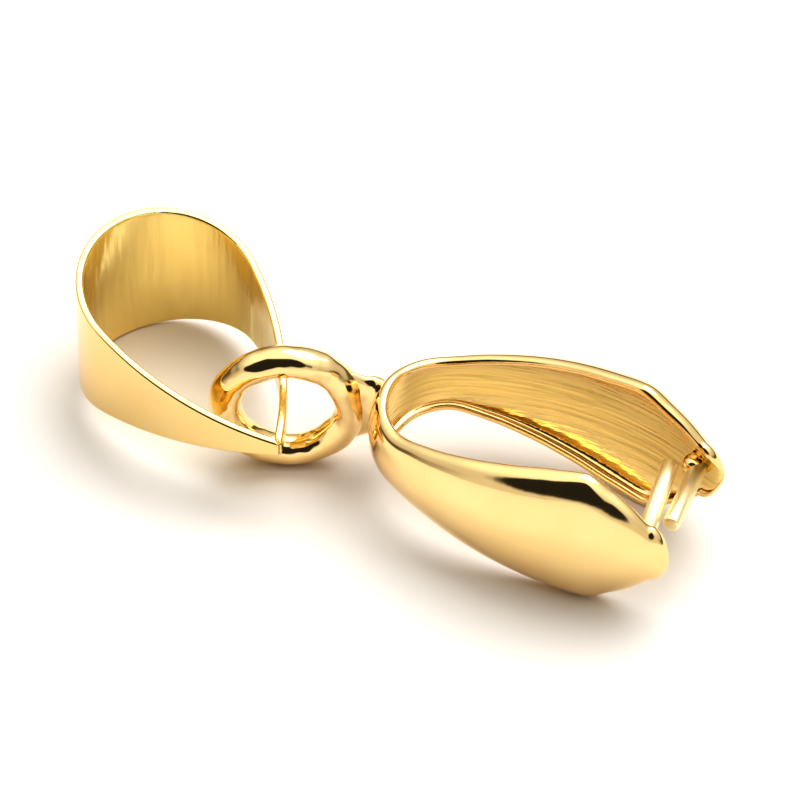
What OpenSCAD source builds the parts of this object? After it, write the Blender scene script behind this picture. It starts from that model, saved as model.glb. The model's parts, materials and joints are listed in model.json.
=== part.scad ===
/* [Leaf arms] */
// Height of a leaf where it is widest
leaf_h = 5.8; // [5:0.05:8]
// Depth of a leaf's hollow section, from its crown to the edge of its lips
leaf_depth = 1.3; // [1:0.05:1.8]
// Thickness of the leaf's metal
sheet_t = 0.36; // [0.26:0.02:0.5]
// Radius of the tight bend behind the ring
bend_r = 2.8; // [2.2:0.1:4]
// Angle that each arm turns through in the tight bend
bend_turn = 66; // [58:1:72]
// Radius of the long curve of each arm
arm_r = 12.4; // [9:0.1:18]
// Angle that each arm turns through in its long curve
arm_turn = 50.5; // [44:0.5:56]
// Length of the rounded nose at the tip of each arm
nose_len = 0.7; // [0.4:0.05:1.2]

/* [Pins] */
// Diameter of the two pins
pin_d = 0.58; // [0.4:0.02:0.9]
// Length of the pin of the first arm, from the lips of its leaf
pin_a_len = 4; // [2:0.1:4]
// Length of the pin of the second arm, from the lips of its leaf
pin_b_len = 2.7; // [2:0.1:3.6]
// Lean of the first pin towards the bend
pin_a_lean = 11; // [10:1:18]
// Lean of the second pin away from the bend
pin_b_lean = 6; // [5:1:10]
// Distance from the tip of an arm back to its pin, along the arm
pin_back = 1.08; // [0.8:0.04:1.4]
// Diameter of the solder bead at the foot of each pin
bead_d = 0.86; // [0.7:0.02:1]

/* [Ring] */
// Inner diameter of the ring
ring_hole = 3.12; // [2.8:0.02:5]
// Thickness of the ring's wire
wire_d = 1.2; // [0.8:0.01:1.5]
// Angle between the ring and the middle of the clasp, seen from above
ring_skew = 26; // [0:1:30]
// Space between the ring and the bend, which the neck fills
neck_gap = 0.3; // [0.2:0.05:0.8]
// Thickness of the neck
neck_d = 0.8; // [0.7:0.02:0.9]
// Height of the neck where it meets the bend
neck_h = 2.4; // [1.8:0.05:2.6]
// Angle that the neck reaches round the ring to, from its middle line
neck_turn = 44; // [40:1:48]

/* [Bail] */
// Length of the bail, from its point to its round end
bail_len = 10.3; // [9:0.1:14]
// Width of the bail across its round end
bail_w = 6.55; // [5.6:0.1:8]
// Radius of the two bowed side walls
side_r = 11.8; // [8:0.1:20]
// Height of the band at the round end
bail_h = 5.75; // [4.5:0.1:8]
// Height of the band at its narrow ends
end_h = 0.6; // [0.5:0.05:1.2]
// Thickness of the band
band_t = 0.28; // [0.2:0.02:0.4]
// Length that the blunt ends fall short of a sharp point
blunt = 0.14; // [0.05:0.01:0.3]
// Slit between the two closed ends
slit = 0.08; // [0.04:0.01:0.2]
// Swing of the bail from the line of the clasp
bail_swing = 30; // [10:1:45]
// Free space between the ring's wire and the near wall of the bail
wire_play = 0.6; // [0.1:0.05:0.8]
// Distance from the middle line of the bail to the middle of the ring's wire
wire_off = 0.34; // [0.1:0.02:0.5]

/* [Hidden] */
$fn = 96;

// Rows along one arm, from the bend to the nose. Columns: share of the way,
// share of the leaf's height, share of its depth, share of the hollow.
LEAF = [
    [0.00, 0.50, 0.54, 0.20],
    [0.12, 0.45, 0.54, 0.45],
    [0.22, 0.43, 0.55, 0.75],
    [0.34, 0.54, 0.64, 0.92],
    [0.47, 0.69, 0.77, 1.00],
    [0.60, 0.83, 0.90, 1.00],
    [0.72, 0.94, 0.99, 1.00],
    [0.82, 1.00, 0.97, 1.00],
    [0.90, 0.82, 0.85, 0.96],
    [0.95, 0.62, 0.71, 0.85],
    [1.00, 0.38, 0.54, 0.60]
];
section_power = 2.05;
nose_turn = 80;
nose_share = 0.15;
arm_steps = 24;
nose_steps = 5;
face_steps = 15;
lip_steps = 4;
wall_steps = 20;
end_steps = 40;
neck_root = 0.25;
neck_sink = 0.2;
pin_foot = 0.2;
pin_chamfer = 0.12;
slit_len = 0.9;
eps = 0.01;

// Smooth curve through one column of the leaf table, flat where it peaks
function row_of(u) = max([for (i = [0:len(LEAF) - 2]) if (u >= LEAF[i][0]) i]);
function rise(i, c) = (LEAF[i + 1][c] - LEAF[i][c]) / (LEAF[i + 1][0] - LEAF[i][0]);
function slope_at(i, c) =
    i == 0 ? 0
    : i == len(LEAF) - 1 ? rise(i - 1, c)
    : rise(i - 1, c) * rise(i, c) <= 0 ? 0
    : 2 / (1 / rise(i - 1, c) + 1 / rise(i, c));
function leaf_share(u, c) =
    let (i = row_of(u), w = LEAF[i + 1][0] - LEAF[i][0], t = (u - LEAF[i][0]) / w)
    LEAF[i][c] * (1 + 2 * t) * pow(1 - t, 2) + LEAF[i + 1][c] * t * t * (3 - 2 * t)
    + w * (slope_at(i, c) * t * pow(1 - t, 2) - slope_at(i + 1, c) * t * t * (1 - t));

// Middle of the strip's outer face: a tight bend, then a long curve
bend_len = bend_r * bend_turn * PI / 180;
path_len = bend_len + arm_r * arm_turn * PI / 180;
body_len = path_len - nose_len;
arc_x = bend_r * (1 - cos(bend_turn)) + arm_r * cos(bend_turn);
arc_y = (bend_r - arm_r) * sin(bend_turn);
function heading(s) =
    s < bend_len ? 90 - s / bend_r * 180 / PI
    : 90 - bend_turn - (s - bend_len) / arm_r * 180 / PI;
function path_x(s) = s < bend_len ? bend_r * (1 - sin(heading(s))) : arc_x - arm_r * sin(heading(s));
function path_y(s) = s < bend_len ? bend_r * cos(heading(s)) : arc_y + arm_r * cos(heading(s));
// A point of one arm: way s, reach inward from the outer face, height z, side +1 or -1
function arm_point(s, reach, z, side) = [
    path_x(s) + reach * sin(heading(s)),
    side * (path_y(s) - reach * cos(heading(s))),
    z
];

// Hollow section of the strip as [reach, height], with rounded lips
function half_h(u) = leaf_h / 2 * leaf_share(u, 1);
function lip_reach(u) = leaf_depth * leaf_share(u, 2);
function hollow_reach(u) = (lip_reach(u) - sheet_t / 2 - sheet_t) * leaf_share(u, 3);
function bow(a) = pow(abs(a), 2 / section_power) * sign(a);
function lip(u, up) = [for (i = [1:lip_steps - 1]) let (a = 180 * i / lip_steps)
    [lip_reach(u) - sheet_t / 2 * (1 - sin(a)), up * (half_h(u) - sheet_t / 2 * (1 - up * cos(a)))]];
function section(u) = let (r = lip_reach(u) - sheet_t / 2, h = half_h(u)) concat(
    [for (i = [0:face_steps]) let (a = 180 * i / face_steps - 90)
        [r * (1 - bow(cos(a))), h * bow(sin(a))]],
    lip(u, 1),
    [for (i = [0:face_steps]) let (a = 90 - 180 * i / face_steps)
        [r - hollow_reach(u) * bow(cos(a)), (h - sheet_t) * bow(sin(a))]],
    lip(u, -1)
);
// The nose shrinks the last section towards a point near its crown, along a quarter circle
function shrunk(points, k) =
    let (m = lip_reach(1) * nose_share)
    [for (p = points) [m + (p[0] - m) * k, p[1] * k]];
function ring_of_points(i, side) =
    let (
        in_nose = i > arm_steps,
        a = nose_turn * (i - arm_steps) / nose_steps,
        s = in_nose ? body_len + nose_len * sin(a) : body_len * i / arm_steps,
        pts = in_nose ? shrunk(section(1), cos(a)) : section(i / arm_steps)
    )
    [for (p = pts) arm_point(s, p[0], p[1], side)];
last_ring = arm_steps + nose_steps;
strip_rings = concat(
    [for (i = [last_ring:-1:1]) ring_of_points(i, -1)],
    [for (i = [0:last_ring]) ring_of_points(i, 1)]
);
strip_points = [for (r = strip_rings) for (p = r) p];
section_size = len(strip_rings[0]);
strip_size = len(strip_rings);
// Each end is closed by quads from crown to hollow and by the two lips
function end_faces(first) =
    let (top = face_steps + lip_steps, low = top + face_steps)
    concat(
        [for (i = [0:face_steps - 1]) [first + i, first + i + 1, first + low - i - 1, first + low - i]],
        [[for (j = [face_steps:top]) first + j]],
        [[for (j = [low:section_size]) first + j % section_size]]
    );
strip_faces = concat(
    end_faces(0),
    [for (i = [0:strip_size - 2]) for (j = [0:section_size - 1]) for (half = [0, 1])
        let (a = i * section_size + j, b = i * section_size + (j + 1) % section_size)
        half == 0 ? [a, a + section_size, b] : [b, a + section_size, b + section_size]],
    [for (f = end_faces((strip_size - 1) * section_size)) [for (k = [len(f) - 1:-1:0]) f[k]]]
);

// The ring stands on edge at the outside of the bend
ring_r = ring_hole / 2 + wire_d / 2;
ring_out = ring_hole / 2 + wire_d;
ring_away = ring_out + neck_gap;
ring_dir = [-cos(ring_skew), -sin(ring_skew)];

// The clasp rests on its two leaves and on the ring, tipped by a small angle
belly_s = body_len * LEAF[7][0];
rest_span = path_x(belly_s) + lip_reach(LEAF[7][0]) * sin(heading(belly_s)) + ring_away * cos(ring_skew);
rest_tip = asin((half_h(LEAF[7][0]) - ring_out) / rest_span);
clasp_z = ring_out + ring_away * cos(ring_skew) * sin(rest_tip);

// The bail's outline: a round end and two bowed walls that meet at the point
end_r = bail_w / 2;
end_x = bail_len - end_r;
side_x = (2 * side_r * end_r - end_r * end_r + end_x * end_x) / (2 * end_x);
side_y = sqrt(side_r * side_r - side_x * side_x);

// Outline of the bail, set in by a distance all round: wall, round end, wall
function arc(x, y, r, from, to, n) =
    [for (i = [0:n]) let (a = from + (to - from) * i / n) [x + r * cos(a), y + r * sin(a)]];
function drop_outline(inset) =
    let (
        r = side_r - inset,
        at_point = 180 - asin(side_y / r),
        at_tangent = atan2(side_y, end_x - side_x),
        wall = arc(side_x, -side_y, r, at_point, at_tangent, wall_steps),
        round_end = arc(end_x, 0, end_r - inset, at_tangent, -at_tangent, end_steps)
    )
    concat(
        wall,
        [for (i = [1:end_steps - 1]) round_end[i]],
        [for (i = [wall_steps:-1:1]) [wall[i][0], -wall[i][1]]]
    );

// The ring's wire stands inside the bail, near its point, and the bail swings about it
wire_room = wire_off + wire_d / 2 + wire_play + band_t;
wire_in = side_x - sqrt(pow(side_r, 2) - pow(wire_room + side_y, 2)) + wire_d / 2;
hinge = (ring_away + ring_r) * ring_dir;
bail_dir = [-cos(bail_swing), sin(bail_swing)];
bail_side = [-sin(bail_swing), -cos(bail_swing)];
bail_at = hinge - wire_in * bail_dir - wire_off * bail_side;
bail_plan = [for (p = drop_outline(0)) bail_at + p[0] * bail_dir + p[1] * bail_side];

// The origin is under the middle of the whole finding's box
x_low = min([for (p = bail_plan) p[0]]);
x_high = max([for (p = strip_points) p[0] * cos(rest_tip) - p[2] * sin(rest_tip)]);
arm_y = max([for (p = strip_points) p[1]]);
y_low = min(-arm_y, min([for (p = bail_plan) p[1]]));
y_high = max(arm_y, max([for (p = bail_plan) p[1]]));
middle = [(x_low + x_high) / 2, (y_low + y_high) / 2, 0];

module ring() {
    translate([ring_away * ring_dir[0], ring_away * ring_dir[1], 0])
        rotate([90, 0, ring_skew])
            rotate_extrude($fn = 84)
                translate([ring_r, 0]) circle(d = wire_d, $fn = 30);
}

// The neck widens from inside the bend to the wire of the ring, where it ends
module neck() {
    end = ring_out - neck_sink;
    end_x = ring_away - end * cos(neck_turn);
    end_z = end * sin(neck_turn);
    root_z = neck_h / 2 - neck_root * (end_z - neck_h / 2) / end_x;
    rotate([90, 0, ring_skew])
        linear_extrude(neck_d, center = true)
            polygon([[neck_root, -root_z], [neck_root, root_z], [-end_x, end_z], [-end_x, -end_z]]);
}

// A blunt round pin with a bead of solder at its foot, on one arm
module pin(side, length, lean) {
    s = path_len - pin_back;
    u = s / body_len;
    foot = arm_point(s, pin_foot, 0, side);
    seat = arm_point(s, lip_reach(min(u, 1)) - bead_d / 4, 0, side);
    total = length + lip_reach(min(u, 1)) - pin_foot;
    translate(foot)
        rotate([side * 90, 0, -lean])
            rotate_extrude($fn = 48)
                polygon([
                    [0, 0],
                    [pin_d / 2, 0],
                    [pin_d / 2, total - pin_chamfer],
                    [pin_d / 2 - pin_chamfer, total],
                    [0, total]
                ]);
    translate(seat) sphere(d = bead_d, $fn = 32);
}

module pinch_clasp() {
    color([0.93, 0.77, 0.45])
        translate([-middle[0], -middle[1], clasp_z])
            rotate([0, -rest_tip, 0]) {
                polyhedron(points = strip_points, faces = strip_faces, convexity = 6);
                ring();
                neck();
                pin(-1, pin_a_len, -pin_a_lean);
                pin(1, pin_b_len, -pin_b_lean);
            }
}

module snap_bail() {
    color([0.95, 0.8, 0.5])
        translate([bail_at[0] - middle[0], bail_at[1] - middle[1], bail_h / 2])
            rotate(180 - bail_swing)
                difference() {
                    intersection() {
                        translate([0, 0, -bail_h])
                            linear_extrude(2 * bail_h)
                                difference() {
                                    polygon(drop_outline(0));
                                    polygon(drop_outline(band_t));
                                }
                        rotate([90, 0, 0])
                            linear_extrude(2 * bail_w, center = true)
                                polygon([
                                    [blunt, -end_h / 2],
                                    [bail_len, -bail_h / 2],
                                    [bail_len + eps, -bail_h / 2],
                                    [bail_len + eps, bail_h / 2],
                                    [bail_len, bail_h / 2],
                                    [blunt, end_h / 2]
                                ]);
                    }
                    translate([0, -slit / 2, -bail_h / 2]) cube([slit_len, slit, bail_h]);
                }
}

pinch_clasp();
snap_bail();
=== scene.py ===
import json
import math

import bpy
import numpy as np
from mathutils import Matrix, Vector, noise


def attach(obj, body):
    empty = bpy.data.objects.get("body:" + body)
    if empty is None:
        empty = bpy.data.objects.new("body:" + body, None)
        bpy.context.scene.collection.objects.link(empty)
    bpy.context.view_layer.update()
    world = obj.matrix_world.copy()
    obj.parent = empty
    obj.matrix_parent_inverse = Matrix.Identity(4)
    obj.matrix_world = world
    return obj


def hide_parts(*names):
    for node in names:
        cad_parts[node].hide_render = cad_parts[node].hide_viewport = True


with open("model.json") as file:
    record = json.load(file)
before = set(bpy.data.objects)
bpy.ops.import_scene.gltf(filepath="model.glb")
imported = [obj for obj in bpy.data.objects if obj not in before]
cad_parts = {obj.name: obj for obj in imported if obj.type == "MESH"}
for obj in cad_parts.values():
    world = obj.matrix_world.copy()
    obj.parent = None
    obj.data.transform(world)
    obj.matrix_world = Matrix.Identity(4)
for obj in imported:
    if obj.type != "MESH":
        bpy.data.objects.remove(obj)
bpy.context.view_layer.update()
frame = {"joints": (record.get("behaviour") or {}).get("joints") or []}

MM = 0.001
UP = Vector((0, 0, 1))

# Camera
# The viewing angle and the perspective are the photograph's. The frame is closed in on the one finding.
# The camera's place is counted from the top of the clasp's bend, along the picture's own directions.
VIEW_AZIMUTH = 26
VIEW_ELEVATION = 45
BEND_TOP = (-0.47, 0.03, 2.98)
CAMERA_AWAY = 260.0
CAMERA_RIGHT = 2.97
CAMERA_UP = 5.58
AIM = (0.2, 0.6, 2.9)
LENS = 340
# Nearest and farthest distance that the camera sees, in metres
CLIP = (0.01, 10)


def camera_axes():
    """The picture's right, up and forward directions."""
    a, e = math.radians(VIEW_AZIMUTH), math.radians(VIEW_ELEVATION)
    right = Vector((math.cos(a), math.sin(a), 0))
    forward = Vector((-math.sin(a) * math.cos(e), math.cos(a) * math.cos(e), -math.sin(e)))
    return right, right.cross(forward), forward


def make_camera():
    right, up, forward = camera_axes()
    place = Vector(BEND_TOP) + right * CAMERA_RIGHT + up * CAMERA_UP - forward * CAMERA_AWAY
    data = bpy.data.cameras.new("camera")
    data.lens = LENS
    data.clip_start, data.clip_end = CLIP
    camera = bpy.data.objects.new("camera", data)
    bpy.context.scene.collection.objects.link(camera)
    camera.location = place * MM
    camera.rotation_mode = "QUATERNION"
    camera.rotation_quaternion = (Vector(AIM) - place).to_track_quat("-Z", "Y")
    bpy.context.scene.camera = camera


make_camera()

# Sizes of the finding, in millimetres and degrees. They are the sizes of its solids, but for three
# that follow the photograph more closely here: PIN_D and the last two rows of LEAF.
LEAF_H = 5.8
LEAF_DEPTH = 1.3
SHEET_T = 0.36
BEND_R = 2.8
BEND_TURN = 66
ARM_R = 12.4
ARM_TURN = 50.5
# Way over which the tight bend eases into the long curve, to either side of where they meet
EASE = 1.0
NOSE_LEN = 0.7
# Where the nose closes between the leaf's crown and its lips, and how much of a quarter turn it makes
NOSE_SHARE = 0.15
NOSE_TURN = 0.97
# Power of the leaf's crowned section: 2 is an ellipse
SECTION_POWER = 2.05
# Brings the smooth leaves inside the flat facets of their solid
SNUG = 0.9915
# Least value of the "hollow" attribute inside a leaf, which it has beside the lips
HOLLOW_EDGE = 0.15

PIN_D = 0.62
PIN_BACK = 1.08
PIN_FOOT = 0.2
PIN_ROUND = 0.12
# Distance from a pin's end to the last row of points on its straight part
PIN_END = 0.3
NEAR_PIN_LEN = 4.0
NEAR_PIN_LEAN = -11
FAR_PIN_LEN = 2.7
FAR_PIN_LEAN = 6
BEAD_D = 0.86

RING_HOLE = 3.12
WIRE_D = 1.2
RING_SKEW = 26

NECK_GAP = 0.3
NECK_D = 0.8
NECK_H = 2.4
NECK_TURN = 44
NECK_SINK = 0.2
NECK_ROOT = 0.25
# The neck is thinner than its solid, but its foot spreads on the bend, within a reach from it
NECK_SLIM = 0.04
FOOT_REACH = 0.2
FOOT_WIDE = 0.12
FOOT_TALL = 0.14

BAIL_LEN = 10.3
BAIL_W = 6.55
SIDE_R = 11.8
BAIL_H = 5.75
END_H = 0.6
BAND_T = 0.28
BAND_EDGE = 0.10
BLUNT = 0.14
SLIT = 0.08
BAIL_SWING = 30
WIRE_PLAY = 0.6
WIRE_OFF = 0.34

# Unevenness of the ring and of the solder: rows of depth and scale
RING_LUMPS = ((0.07, 0.9), (0.02, 2.6))
RING_LOSS = 0.03
SOLDER_LUMPS = ((0.03, 1.3), (0.01, 3.0))
SOLDER_RISE = 0.5

# Rows along an arm: share of the way, of the leaf's height, of its depth, of its hollow
LEAF = [
    (0.00, 0.50, 0.54, 0.20),
    (0.12, 0.45, 0.54, 0.45),
    (0.22, 0.43, 0.55, 0.75),
    (0.34, 0.54, 0.64, 0.92),
    (0.47, 0.69, 0.77, 1.00),
    (0.60, 0.83, 0.90, 1.00),
    (0.72, 0.94, 0.99, 1.00),
    (0.82, 1.00, 0.97, 1.00),
    (0.90, 0.82, 0.85, 0.96),
    (0.95, 0.66, 0.71, 0.85),
    (1.00, 0.44, 0.54, 0.60),
]
HEIGHT, DEPTH, HOLLOW = 1, 2, 3
# The widest place of a leaf, which it rests on
BELLY = LEAF[7][0]


def leaf_share(u, column):
    """Smooth curve through one column of the leaf table, flat where it peaks."""
    rise = [(b[column] - a[column]) / (b[0] - a[0]) for a, b in zip(LEAF, LEAF[1:])]
    slopes = [0.0]
    for before, after in zip(rise, rise[1:]):
        slopes.append(0.0 if before * after <= 0 else 2 / (1 / before + 1 / after))
    slopes.append(rise[-1])
    i = max(k for k in range(len(LEAF) - 1) if u >= LEAF[k][0])
    width = LEAF[i + 1][0] - LEAF[i][0]
    t = (u - LEAF[i][0]) / width
    return (LEAF[i][column] * (1 + 2 * t) * (1 - t) ** 2 + LEAF[i + 1][column] * t * t * (3 - 2 * t)
            + width * (slopes[i] * t * (1 - t) ** 2 - slopes[i + 1] * t * t * (1 - t)))


# The strip's outer face: a tight bend that eases into a long curve
BEND_LEN = BEND_R * math.radians(BEND_TURN)
PATH_LEN = BEND_LEN + ARM_R * math.radians(ARM_TURN)
BODY_LEN = PATH_LEN - NOSE_LEN


def make_path(steps=1600):
    """Way, x, y and heading along one arm, from the bend outward."""
    s = np.linspace(0, PATH_LEN, steps + 1)
    blend = np.clip((s - BEND_LEN) / (2 * EASE) + 0.5, 0, 1)
    blend = blend * blend * (3 - 2 * blend)
    curvature = (1 - blend) / BEND_R + blend / ARM_R
    step = s[1] - s[0]
    turned = np.concatenate([[0], np.cumsum((curvature[1:] + curvature[:-1]) / 2 * step)])
    heading = math.pi / 2 - turned
    x = np.concatenate([[0], np.cumsum((np.cos(heading[1:]) + np.cos(heading[:-1])) / 2 * step)])
    y = np.concatenate([[0], np.cumsum((np.sin(heading[1:]) + np.sin(heading[:-1])) / 2 * step)])
    return s, x, y, heading


PATH = make_path()


def arm_point(s, reach, z, side):
    """A point of one arm: way s, reach inward from the outer face, height z, side +1 or -1."""
    x, y, h = (np.interp(s, PATH[0], PATH[k]) for k in (1, 2, 3))
    return (x + reach * math.sin(h), side * (y - reach * math.cos(h)), z)


def half_h(u):
    """Half the leaf's height at a share of the way."""
    return LEAF_H / 2 * leaf_share(u, HEIGHT)


def lip_reach(u):
    """Depth of the leaf's section at a share of the way."""
    return LEAF_DEPTH * leaf_share(u, DEPTH)


def bow(a):
    """Bends a sine or cosine to the crowned section."""
    return math.copysign(abs(a) ** (2 / SECTION_POWER), a)


# Places in the frame. The ring's wire is where the bail swings, and the clasp rests on the bellies
# of its leaves and on its ring.
hinge = Vector(frame["joints"][0]["pos_m"]) / MM
RING_R = RING_HOLE / 2 + WIRE_D / 2
RING_OUT = RING_HOLE / 2 + WIRE_D
RING_AWAY = RING_OUT + NECK_GAP
skew = math.radians(RING_SKEW)
swing = math.radians(BAIL_SWING)
ring_dir = Vector((-math.cos(skew), -math.sin(skew), 0))
ring_side = ring_dir.cross(UP)
bend_at = hinge - (RING_AWAY + RING_R) * ring_dir
belly = arm_point(BODY_LEN * BELLY, lip_reach(BELLY), 0, 1)
rest_span = belly[0] + RING_AWAY * math.cos(skew)
rest_tip = math.asin((half_h(BELLY) - RING_OUT) / rest_span)
clasp_z = RING_OUT + RING_AWAY * math.cos(skew) * math.sin(rest_tip)
CLASP_PLACE = Matrix.Translation((bend_at.x, bend_at.y, clasp_z)) @ Matrix.Rotation(-rest_tip, 4, "Y")

end_r = BAIL_W / 2
end_x = BAIL_LEN - end_r
side_x = (2 * SIDE_R * end_r - end_r ** 2 + end_x ** 2) / (2 * end_x)
side_y = math.sqrt(SIDE_R ** 2 - side_x ** 2)
wire_room = WIRE_OFF + WIRE_D / 2 + WIRE_PLAY + BAND_T
wire_in = side_x - math.sqrt(SIDE_R ** 2 - (wire_room + side_y) ** 2) + WIRE_D / 2
bail_dir = Vector((-math.cos(swing), math.sin(swing), 0))
bail_side = Vector((-math.sin(swing), -math.cos(swing), 0))
bail_at = hinge - wire_in * bail_dir - WIRE_OFF * bail_side
BAIL_PLACE = (Matrix.Translation((bail_at.x, bail_at.y, BAIL_H / 2))
              @ Matrix.Rotation(math.pi - swing, 4, "Z"))


# Meshes
def new_piece(name, points, faces, place, along=None):
    """A smooth mesh from points in millimetres, set in place.

    along has one row a point: way along the metal, height, and share from 0 outside to 1 in a hollow.
    """
    mesh = bpy.data.meshes.new(name)
    moved = [place @ Vector(p) * MM for p in points]
    mesh.from_pydata(moved, [], faces)
    mesh.polygons.foreach_set("use_smooth", [True] * len(mesh.polygons))
    if along is not None:
        along = np.array(along, np.float32)
        layer = mesh.uv_layers.new(name="along")
        corner = np.zeros(len(mesh.loops), int)
        mesh.loops.foreach_get("vertex_index", corner)
        layer.uv.foreach_set("vector", along[corner, :2].ravel())
        inner = mesh.attributes.new("hollow", "FLOAT", "POINT")
        inner.data.foreach_set("value", along[:, 2].copy())
    mesh.validate()
    mesh.update()
    piece = bpy.data.objects.new(name, mesh)
    bpy.context.scene.collection.objects.link(piece)
    return piece


def swept(name, rings, place, closed_path=False, along=None):
    """A tube of quads through rings of points. Fans close its ends, unless the path is closed."""
    size = len(rings[0])
    points = [p for ring in rings for p in ring]
    faces = []
    last = len(rings) if closed_path else len(rings) - 1
    for i in range(last):
        j = (i + 1) % len(rings)
        for k in range(size):
            m = (k + 1) % size
            faces.append((i * size + k, i * size + m, j * size + m, j * size + k))
    if not closed_path:
        for i, order in ((0, 1), (len(rings) - 1, -1)):
            middle = sum((Vector(p) for p in rings[i]), Vector()) / size
            points.append(tuple(middle))
            if along is not None:
                along = list(along) + [along[i * size]]
            for k in range(size):
                m = (k + 1) % size
                pair = (i * size + m, i * size + k)[::order]
                faces.append((len(points) - 1, *pair))
    return new_piece(name, points, faces, place, along)


def around(count):
    """Angles of one full turn."""
    return [2 * math.pi * j / count for j in range(count)]


def between(a, first, second):
    """Direction at an angle from the first one towards the second."""
    return math.cos(a) * first + math.sin(a) * second


def lump(p, rows):
    """Height of an uneven surface at a point, from rows of depth and scale."""
    return sum(depth * noise.noise(p * scale) for depth, scale in rows)


def lip_point(a, r, h, way):
    """Point of a rounded lip: a runs over it from the crown, and way is 1 for the upper lip or -1."""
    return (r + SHEET_T / 2 * math.sin(a), way * (h - SHEET_T / 2 * (1 - math.cos(a))), 0)


def strip_section(u, crown=40, lip=10, hollow=32):
    """Section of the leaf as rows of reach, height and share from 0 outside to 1 in the hollow."""
    r, h = lip_reach(u) - SHEET_T / 2, half_h(u)
    deep = (r - SHEET_T) * leaf_share(u, HOLLOW)
    outline = []
    for i in range(crown + 1):
        a = math.pi * i / crown - math.pi / 2
        outline.append((r * (1 - bow(math.cos(a))), h * bow(math.sin(a)), 0))
    outline += [lip_point(math.pi * i / lip, r, h, 1) for i in range(1, lip)]
    for i in range(hollow + 1):
        a = math.pi / 2 - math.pi * i / hollow
        inside = max(HOLLOW_EDGE, math.cos(a))
        outline.append((r - deep * bow(math.cos(a)), (h - SHEET_T) * bow(math.sin(a)), inside))
    outline += [lip_point(math.pi * (1 - i / lip), r, h, -1) for i in range(1, lip)]
    return outline


def make_strip(body_steps=150, nose_steps=12):
    """The bent strip from nose to nose, with both leaves."""
    steps = body_steps + nose_steps
    middle = lip_reach(1) * NOSE_SHARE
    rings, along = [], []
    for side, i in [(-1, i) for i in range(steps, 0, -1)] + [(1, i) for i in range(steps + 1)]:
        if i > body_steps:
            a = math.pi / 2 * NOSE_TURN * (i - body_steps) / nose_steps
            s, k, u = BODY_LEN + NOSE_LEN * math.sin(a), math.cos(a), 1.0
        else:
            u = i / body_steps
            s, k = BODY_LEN * u, 1.0
        section = strip_section(u)
        if k < 1:
            section = [(middle + (reach - middle) * k, z * k, inside) for reach, z, inside in section]
        ring = [arm_point(s, reach, z, side) for reach, z, _ in section]
        rings.append([(x, y * SNUG, z * SNUG) for x, y, z in ring])
        along += [(side * s, z, inside) for _, z, inside in section]
    return swept("clasp_leaves", rings, CLASP_PLACE, along=along)


def make_ring(steps=160, sides=48):
    """The ring, with the slightly uneven surface of a soldered wire."""
    rings = []
    for a in around(steps):
        out = between(a, ring_dir, UP)
        middle = RING_AWAY * ring_dir + RING_R * out
        ring = []
        for b in around(sides):
            way = between(b, out, ring_side)
            p = middle + WIRE_D / 2 * way
            ring.append(tuple(p + (lump(p, RING_LUMPS) - RING_LOSS) * way))
        rings.append(ring)
    return swept("clasp_ring", rings, CLASP_PLACE, closed_path=True)


def make_solder(steps=36, sides=64):
    """The soldered neck: it widens from inside the bend to the wire of the ring, where it ends."""
    turn = math.radians(NECK_TURN)
    end_reach = RING_AWAY - (RING_OUT - NECK_SINK) * math.cos(turn)
    end_tall = (RING_OUT - NECK_SINK) * math.sin(turn)
    rings = []
    for i in range(steps + 1):
        reach = -NECK_ROOT + (end_reach + NECK_ROOT) * i / steps
        foot = math.exp(-(reach / FOOT_REACH) ** 2) if reach > 0 else 1.0
        tall = NECK_H / 2 + (end_tall - NECK_H / 2) * reach / end_reach + FOOT_TALL * foot
        wide = NECK_D / 2 - NECK_SLIM + FOOT_WIDE * foot
        ring = []
        for b in around(sides):
            p = reach * ring_dir + wide * math.cos(b) * ring_side + tall * math.sin(b) * UP
            way = math.cos(b) * ring_side + SOLDER_RISE * math.sin(b) * UP
            ring.append(tuple(p + lump(p, SOLDER_LUMPS) * way))
        rings.append(ring)
    return swept("clasp_solder", rings, CLASP_PLACE)


def make_pin(name, side, length, lean, end_steps=6, sides=32):
    """A blunt pin with a rounded end, on the inner face of one arm."""
    s = PATH_LEN - PIN_BACK
    u = min(s / BODY_LEN, 1)
    foot = Vector(arm_point(s, PIN_FOOT, 0, side))
    total = length + lip_reach(u) - PIN_FOOT
    lean = math.radians(lean)
    along = Vector((math.sin(lean), -side * math.cos(lean), 0))
    across = along.cross(UP)
    # Rows of way along the pin and share of its radius
    rows = [(0, 1), (total - PIN_END, 1)]
    for i in range(end_steps + 1):
        a = math.pi / 2 * i / end_steps
        rows.append((total - PIN_ROUND + PIN_ROUND * math.sin(a),
                     1 - PIN_ROUND / (PIN_D / 2) * (1 - math.cos(a))))
    rings = [[tuple(foot + way * along + PIN_D / 2 * k * between(b, across, UP)) for b in around(sides)]
             for way, k in rows]
    return swept(name, rings, CLASP_PLACE)


def make_bead(name, side, steps=24, sides=32):
    """The bead of solder at the foot of a pin."""
    s = PATH_LEN - PIN_BACK
    u = min(s / BODY_LEN, 1)
    seat = Vector(arm_point(s, lip_reach(u) - BEAD_D / 4, 0, side))
    rings = []
    for i in range(1, steps):
        a = math.pi * i / steps
        ways = [Vector((math.sin(a) * math.cos(b), math.sin(a) * math.sin(b), math.cos(a)))
                for b in around(sides)]
        rings.append([tuple(seat + BEAD_D / 2 * way) for way in ways])
    return swept(name, rings, CLASP_PLACE)


# The bail's band
def band_height(x):
    return END_H + (BAIL_H - END_H) * (x - BLUNT) / (BAIL_LEN - BLUNT)


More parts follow.
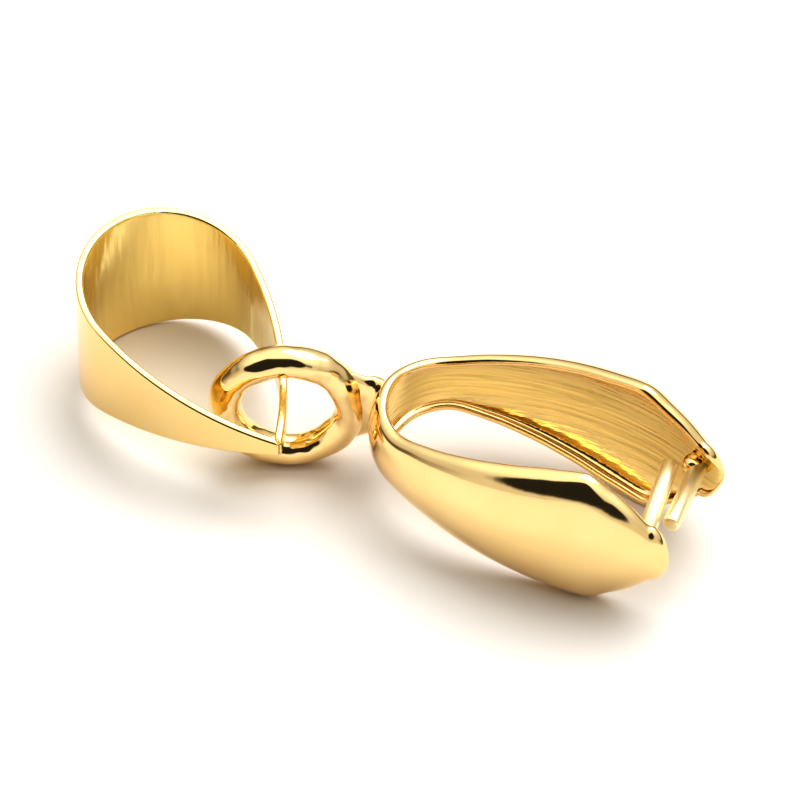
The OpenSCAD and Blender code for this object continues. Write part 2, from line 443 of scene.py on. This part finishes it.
def band_point(q, inset):
    """Plan of the band at q: 0 is the point, 1 to 2 the round end, and 3 the point again."""
    r = SIDE_R - inset
    at_point = math.pi - math.asin(min(1, (side_y + SLIT / 2) / r))
    at_tangent = math.atan2(side_y, end_x - side_x)
    mirror = 1 if q <= 1.5 else -1
    q = q if q <= 1.5 else 3 - q
    if q <= 1:
        a = at_point + (at_tangent - at_point) * q
        return side_x + r * math.cos(a), mirror * (-side_y + r * math.sin(a))
    a = at_tangent * (1 - (q - 1) * 2)
    return end_x + (end_r - inset) * math.cos(a), mirror * (end_r - inset) * math.sin(a)


def band_section(rows=12, corner=5, margin=0.012):
    """Section of the band as rows of inset, share of the half height, and rise above that.

    rows and corner count the points up a face and round an edge. margin is the share of the height
    that the first row of a face keeps from its edge.
    """
    near, far = BAND_EDGE, BAND_T - BAND_EDGE
    corners = ((near, -1, math.pi), (near, 1, math.pi / 2), (far, 1, 0), (far, -1, -math.pi / 2))
    section = []
    for n, (inset, up, start) in enumerate(corners):
        for i in range(corner + 1):
            a = start + math.pi / 2 * (1 - i / corner)
            section.append((inset + BAND_EDGE * math.cos(a), up, BAND_EDGE * math.sin(a)))
        if n in (0, 2):
            face, way = (0, 1) if n == 0 else (BAND_T, -1)
            for i in range(1, rows):
                t = margin + (1 - 2 * margin) * (i - 1) / (rows - 2)
                section.append((face, (2 * t - 1) * way, 0))
    return section


def make_band(wall_steps=90, end_steps=90):
    """The bail: one wall from the point, the round end, and the other wall back to the point."""
    qs = [i / wall_steps for i in range(wall_steps)]
    qs += [1 + i / end_steps for i in range(end_steps)]
    qs += [2 + i / wall_steps for i in range(wall_steps + 1)]
    section = band_section()
    rings, along = [], []
    way, before = 0.0, band_point(0, 0)
    for q in qs:
        here = band_point(q, 0)
        way += math.dist(here, before)
        before = here
        ring = []
        for inset, up, rise in section:
            x, y = band_point(q, inset)
            half = band_height(max(x, BLUNT)) / 2
            z = up * (half - BAND_EDGE) + rise
            ring.append((x, y, z))
            along.append((way, z, float(inset > BAND_T / 2)))
        rings.append(ring)
    return swept("bail_band", rings, BAIL_PLACE, along=along)


# Nodes
def put(tree, value, target):
    """Gives an input a number, a color or a vector, or links it to another node's output."""
    if isinstance(value, bpy.types.NodeSocket):
        tree.links.new(value, target)
    elif isinstance(value, tuple):
        target.default_value = (*value, 1)
    else:
        target.default_value = value


def noise_node(tree, vector, scale, detail):
    node = tree.nodes.new("ShaderNodeTexNoise")
    for key, value in (("Vector", vector), ("Scale", scale), ("Detail", detail)):
        put(tree, value, node.inputs[key])
    return node.outputs["Fac"]


def map_node(tree, value, low, high, start=0.0, end=1.0, smooth=False):
    """Brings a value that runs from start to end into the range from low to high."""
    node = tree.nodes.new("ShaderNodeMapRange")
    if smooth:
        node.interpolation_type = "SMOOTHSTEP"
    keys = ("Value", "From Min", "From Max", "To Min", "To Max")
    for key, number in zip(keys, (value, start, end, low, high)):
        put(tree, number, node.inputs[key])
    return node.outputs["Result"]


def mix_node(tree, a, b, factor, blend="MIX"):
    """Mixes two colors."""
    node = tree.nodes.new("ShaderNodeMix")
    node.data_type = "RGBA"
    node.blend_type = blend
    for key, value in (("A", a), ("B", b), ("Factor", factor)):
        put(tree, value, node.inputs[key])
    return node.outputs["Result"]


def ramp_node(tree, value, stops):
    """Color from rows of position and color."""
    node = tree.nodes.new("ShaderNodeValToRGB")
    elements = node.color_ramp.elements
    for element, (at, color) in ((elements[0], stops[0]), (elements[1], stops[-1])):
        element.position, element.color = at, (*color, 1)
    for at, color in stops[1:-1]:
        elements.new(at).color = (*color, 1)
    put(tree, value, node.inputs["Fac"])
    return node.outputs["Color"]


def times_node(tree, a, b):
    node = tree.nodes.new("ShaderNodeMath")
    node.operation = "MULTIPLY"
    put(tree, a, node.inputs[0])
    put(tree, b, node.inputs[1])
    return node.outputs["Value"]


def dot_node(tree, vector, axis):
    """How far a vector reaches along an axis."""
    node = tree.nodes.new("ShaderNodeVectorMath")
    node.operation = "DOT_PRODUCT"
    put(tree, vector, node.inputs[0])
    put(tree, axis, node.inputs[1])
    return node.outputs["Value"]


def bump_node(tree, height, depth, before=None):
    """Bump of a depth in millimetres, on top of the one before."""
    node = tree.nodes.new("ShaderNodeBump")
    put(tree, depth * MM, node.inputs["Distance"])
    put(tree, height, node.inputs["Height"])
    if before is not None:
        put(tree, before, node.inputs["Normal"])
    return node.outputs["Normal"]


# Materials
# Scale and detail of each noise: stains, waviness of the polish, fine marks, and polishing lines
STAIN_NOISE = (700, 3)
WAVE_NOISE = (420, 1)
FINE_NOISE = (1500, 2)
LINE_NOISE = (1, 3)
FINE_DEPTH = 0.004
# The line noise is darkest up to the first value and bright from the second
LINE_RANGE = (0.35, 0.55)
STAIN_TINTS = ((0.3, (0.97, 0.94, 0.88)), (0.7, (1, 1, 1)))
# The roughness runs between these shares of the metal's own, over the stain noise
STAIN_ROUGH = (0.8, 1.25)


def gold(name, outer, inner, roughness, wave, lines, stretch, streaked):
    """Polished plating, with one color outside and another inside a hollow. The inner color is painted
    light: a copy of the gold set lighter or more orange for how the light falls in the hollow.

    wave and lines are depths in millimetres, and stretch sets the way that the lines run. streaked is
    how bright the inner color stays along the dark streaks of the line noise.
    """
    material = bpy.data.materials.new(name)
    material.use_nodes = True
    tree = material.node_tree
    shader = tree.nodes["Principled BSDF"]
    shader.inputs["Metallic"].default_value = 1.0
    place = tree.nodes.new("ShaderNodeTexCoord").outputs["Object"]
    hollow = tree.nodes.new("ShaderNodeAttribute")
    hollow.attribute_name = "hollow"
    hollow = hollow.outputs["Fac"]

    line_map = tree.nodes.new("ShaderNodeUVMap")
    line_map.uv_map = "along"
    stretched = tree.nodes.new("ShaderNodeMapping")
    stretched.inputs["Scale"].default_value = (*stretch, 1)
    put(tree, line_map.outputs["UV"], stretched.inputs["Vector"])
    line = noise_node(tree, stretched.outputs["Vector"], *LINE_NOISE)
    stain = noise_node(tree, place, *STAIN_NOISE)

    dark_inner = tuple(streaked * c for c in inner)
    streak = mix_node(tree, dark_inner, inner, map_node(tree, line, 0, 1, *LINE_RANGE))
    # Painted light: the hollow takes the inner color, a copy of the gold tinted for the light and shade
    # inside
    painted_light_tone = mix_node(tree, outer, streak, hollow)
    stained = mix_node(tree, painted_light_tone, ramp_node(tree, stain, STAIN_TINTS), 1.0, "MULTIPLY")
    put(tree, stained, shader.inputs["Base Color"])
    glossy, dull = (share * roughness for share in STAIN_ROUGH)
    put(tree, map_node(tree, stain, glossy, dull), shader.inputs["Roughness"])

    waves = bump_node(tree, noise_node(tree, place, *WAVE_NOISE), wave)
    fine = bump_node(tree, noise_node(tree, place, *FINE_NOISE), FINE_DEPTH, waves)
    drawn = bump_node(tree, times_node(tree, line, hollow), lines, fine)
    put(tree, drawn, shader.inputs["Normal"])
    return material


# Each inner color is painted light for the hollow: lighter on the bail's inner wall, more orange in the
# clasp's leaves
clasp_gold = gold("clasp_gold", outer=(0.97, 0.68, 0.285), inner=(0.98, 0.71, 0.22), roughness=0.07,
                  wave=0.03, lines=0.03, stretch=(0.3, 6), streaked=0.76)
bail_gold = gold("bail_gold", outer=(0.96, 0.66, 0.25), inner=(1.0, 0.79, 0.27), roughness=0.18,
                 wave=0.02, lines=0.03, stretch=(2.5, 0.25), streaked=0.93)
pin_gold = gold("pin_gold", outer=(1.0, 0.88, 0.52), inner=(1.0, 0.88, 0.52), roughness=0.40,
                wave=0.01, lines=0.0, stretch=(1, 1), streaked=1)

# Pieces
strip = make_strip()
ring = make_ring()
solder = make_solder()
near_pin = make_pin("clasp_pin_near", -1, NEAR_PIN_LEN, NEAR_PIN_LEAN)
far_pin = make_pin("clasp_pin_far", 1, FAR_PIN_LEN, FAR_PIN_LEAN)
near_bead = make_bead("clasp_bead_near", -1)
far_bead = make_bead("clasp_bead_far", 1)
pins = [near_pin, far_pin]
for piece in [strip, ring, solder, near_pin, far_pin, near_bead, far_bead]:
    piece.data.materials.append(pin_gold if piece in pins else clasp_gold)
    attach(piece, "clasp")
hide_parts("pinch_clasp")

band = make_band()
band.data.materials.append(bail_gold)
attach(band, "bail")
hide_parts("snap_bail")

# Floor: white, with a painted shadow that is darker and warmer close to the gold, standing in for the
# shade there and for the gold's color thrown on it
FLOOR_HALF = 0.6
FLOOR_COLOR = (0.74, 0.735, 0.725)
FLOOR_PAINTED_SHADOW = (0.58, 0.455, 0.32)
PAINTED_SHADOW_REACH = 6
PAINTED_SHADOW_SAMPLES = 8


def make_floor():
    half = FLOOR_HALF
    mesh = bpy.data.meshes.new("floor")
    corners = [(-half, -half, 0), (half, -half, 0), (half, half, 0), (-half, half, 0)]
    mesh.from_pydata(corners, [], [(0, 1, 2, 3)])
    floor = bpy.data.objects.new("floor", mesh)
    bpy.context.scene.collection.objects.link(floor)
    material = bpy.data.materials.new("floor_white")
    material.use_nodes = True
    tree = material.node_tree
    shader = tree.nodes["Principled BSDF"]
    # Painted shadow: an occlusion mask turns the floor color darker and warmer where the gold is close
    painted_shadow = tree.nodes.new("ShaderNodeAmbientOcclusion")
    painted_shadow.samples = PAINTED_SHADOW_SAMPLES
    painted_shadow.inputs["Distance"].default_value = PAINTED_SHADOW_REACH * MM
    color = mix_node(tree, FLOOR_PAINTED_SHADOW, FLOOR_COLOR, painted_shadow.outputs["AO"])
    put(tree, color, shader.inputs["Base Color"])
    shader.inputs["Roughness"].default_value = 0.7
    shader.inputs["Specular IOR Level"].default_value = 0.2
    mesh.materials.append(material)


make_floor()

# Light
# The tent by height, from the horizon at 0 to straight above at 1
TENT = (
    (0.0, (0.5, 0.48, 0.45)),
    (0.02, (0.13, 0.10, 0.06)),
    (0.16, (0.13, 0.10, 0.06)),
    (0.26, (0.75, 0.72, 0.67)),
    (0.5, (1, 1, 1)),
    (0.75, (1.75, 1.73, 1.64)),
    (1.0, (1.9, 1.88, 1.78)),
)
TENT_STRENGTH = 0.9
# The tent's front wall, to all heights: its azimuth, its color, and where it starts and is full
FRONT_AZIMUTH = 10
FRONT_COLOR = (0.95, 0.92, 0.86)
FRONT_RANGE = (0.3, 0.7)
# The dark place of the room, where the camera stands: azimuth, elevation, half width and half height
DARK_FRONT = (6, 33, 41, 33)
# Where its soft edge starts and ends, as a share of its size, and how much light is left in it
DARK_EDGE = (0.9, 1.02)
DARK_LIGHT = 0.02
# Keeps the dark place off the opposite wall: what is added to the distance there, and the range of
# the direction's share towards the place over which that fades
BEHIND_AWAY = 5.0
BEHIND_RANGE = (0.0, 0.2)


def direction(azimuth, elevation):
    """Unit vector: azimuth from -Y towards +X, elevation above the floor."""
    a, e = math.radians(azimuth), math.radians(elevation)
    return Vector((math.sin(a) * math.cos(e), -math.cos(a) * math.cos(e), math.sin(e)))


def dark_spot(tree, toward, azimuth, elevation, half_width, half_height):
    """A soft-edged oval in the world that is dark: little light inside and all of it outside."""
    middle = direction(azimuth, elevation)
    side = direction(azimuth + 90, 0)
    over = middle.cross(side)
    parts = tree.nodes.new("ShaderNodeCombineXYZ")
    for k, (axis, half) in enumerate(((side, half_width), (over, half_height))):
        put(tree, dot_node(tree, toward, axis / math.sin(math.radians(half))), parts.inputs[k])
    front = dot_node(tree, toward, middle)
    put(tree, map_node(tree, front, BEHIND_AWAY, 0.0, *BEHIND_RANGE), parts.inputs[2])
    away = tree.nodes.new("ShaderNodeVectorMath")
    away.operation = "LENGTH"
    put(tree, parts.outputs["Vector"], away.inputs[0])
    return map_node(tree, away.outputs["Value"], DARK_LIGHT, 1.0, *DARK_EDGE, smooth=True)


def make_world():
    """A white tent: bright above, dim low down, and with a dark place where the camera stands."""
    world = bpy.data.worlds.new("tent")
    bpy.context.scene.world = world
    world.use_nodes = True
    tree = world.node_tree
    back = tree.nodes["Background"]
    toward = tree.nodes.new("ShaderNodeTexCoord").outputs["Generated"]
    split = tree.nodes.new("ShaderNodeSeparateXYZ")
    put(tree, toward, split.inputs["Vector"])
    heights = ramp_node(tree, split.outputs["Z"], TENT)
    front = map_node(tree, dot_node(tree, toward, direction(FRONT_AZIMUTH, 0)), 0, 1, *FRONT_RANGE)
    lit = mix_node(tree, heights, FRONT_COLOR, front)
    light = tree.nodes.new("ShaderNodeVectorMath")
    light.operation = "SCALE"
    put(tree, lit, light.inputs[0])
    put(tree, dark_spot(tree, toward, *DARK_FRONT), light.inputs["Scale"])
    put(tree, light.outputs["Vector"], back.inputs["Color"])
    back.inputs["Strength"].default_value = TENT_STRENGTH


make_world()


def make_lamp(name, azimuth, elevation, away, size, power):
    """A rectangular lamp that points at the origin. away and size are in metres."""
    data = bpy.data.lights.new(name, "AREA")
    data.shape = "RECTANGLE"
    data.size, data.size_y = size
    data.energy = power
    lamp = bpy.data.objects.new(name, data)
    bpy.context.scene.collection.objects.link(lamp)
    place = direction(azimuth, elevation) * away
    lamp.location = place
    lamp.rotation_mode = "QUATERNION"
    lamp.rotation_quaternion = (-place).to_track_quat("-Z", "Y")


make_lamp("softbox", azimuth=165, elevation=65, away=0.5, size=(0.45, 0.4), power=2.8)

view = bpy.context.scene.view_settings
view.view_transform = "Standard"
view.look = "None"
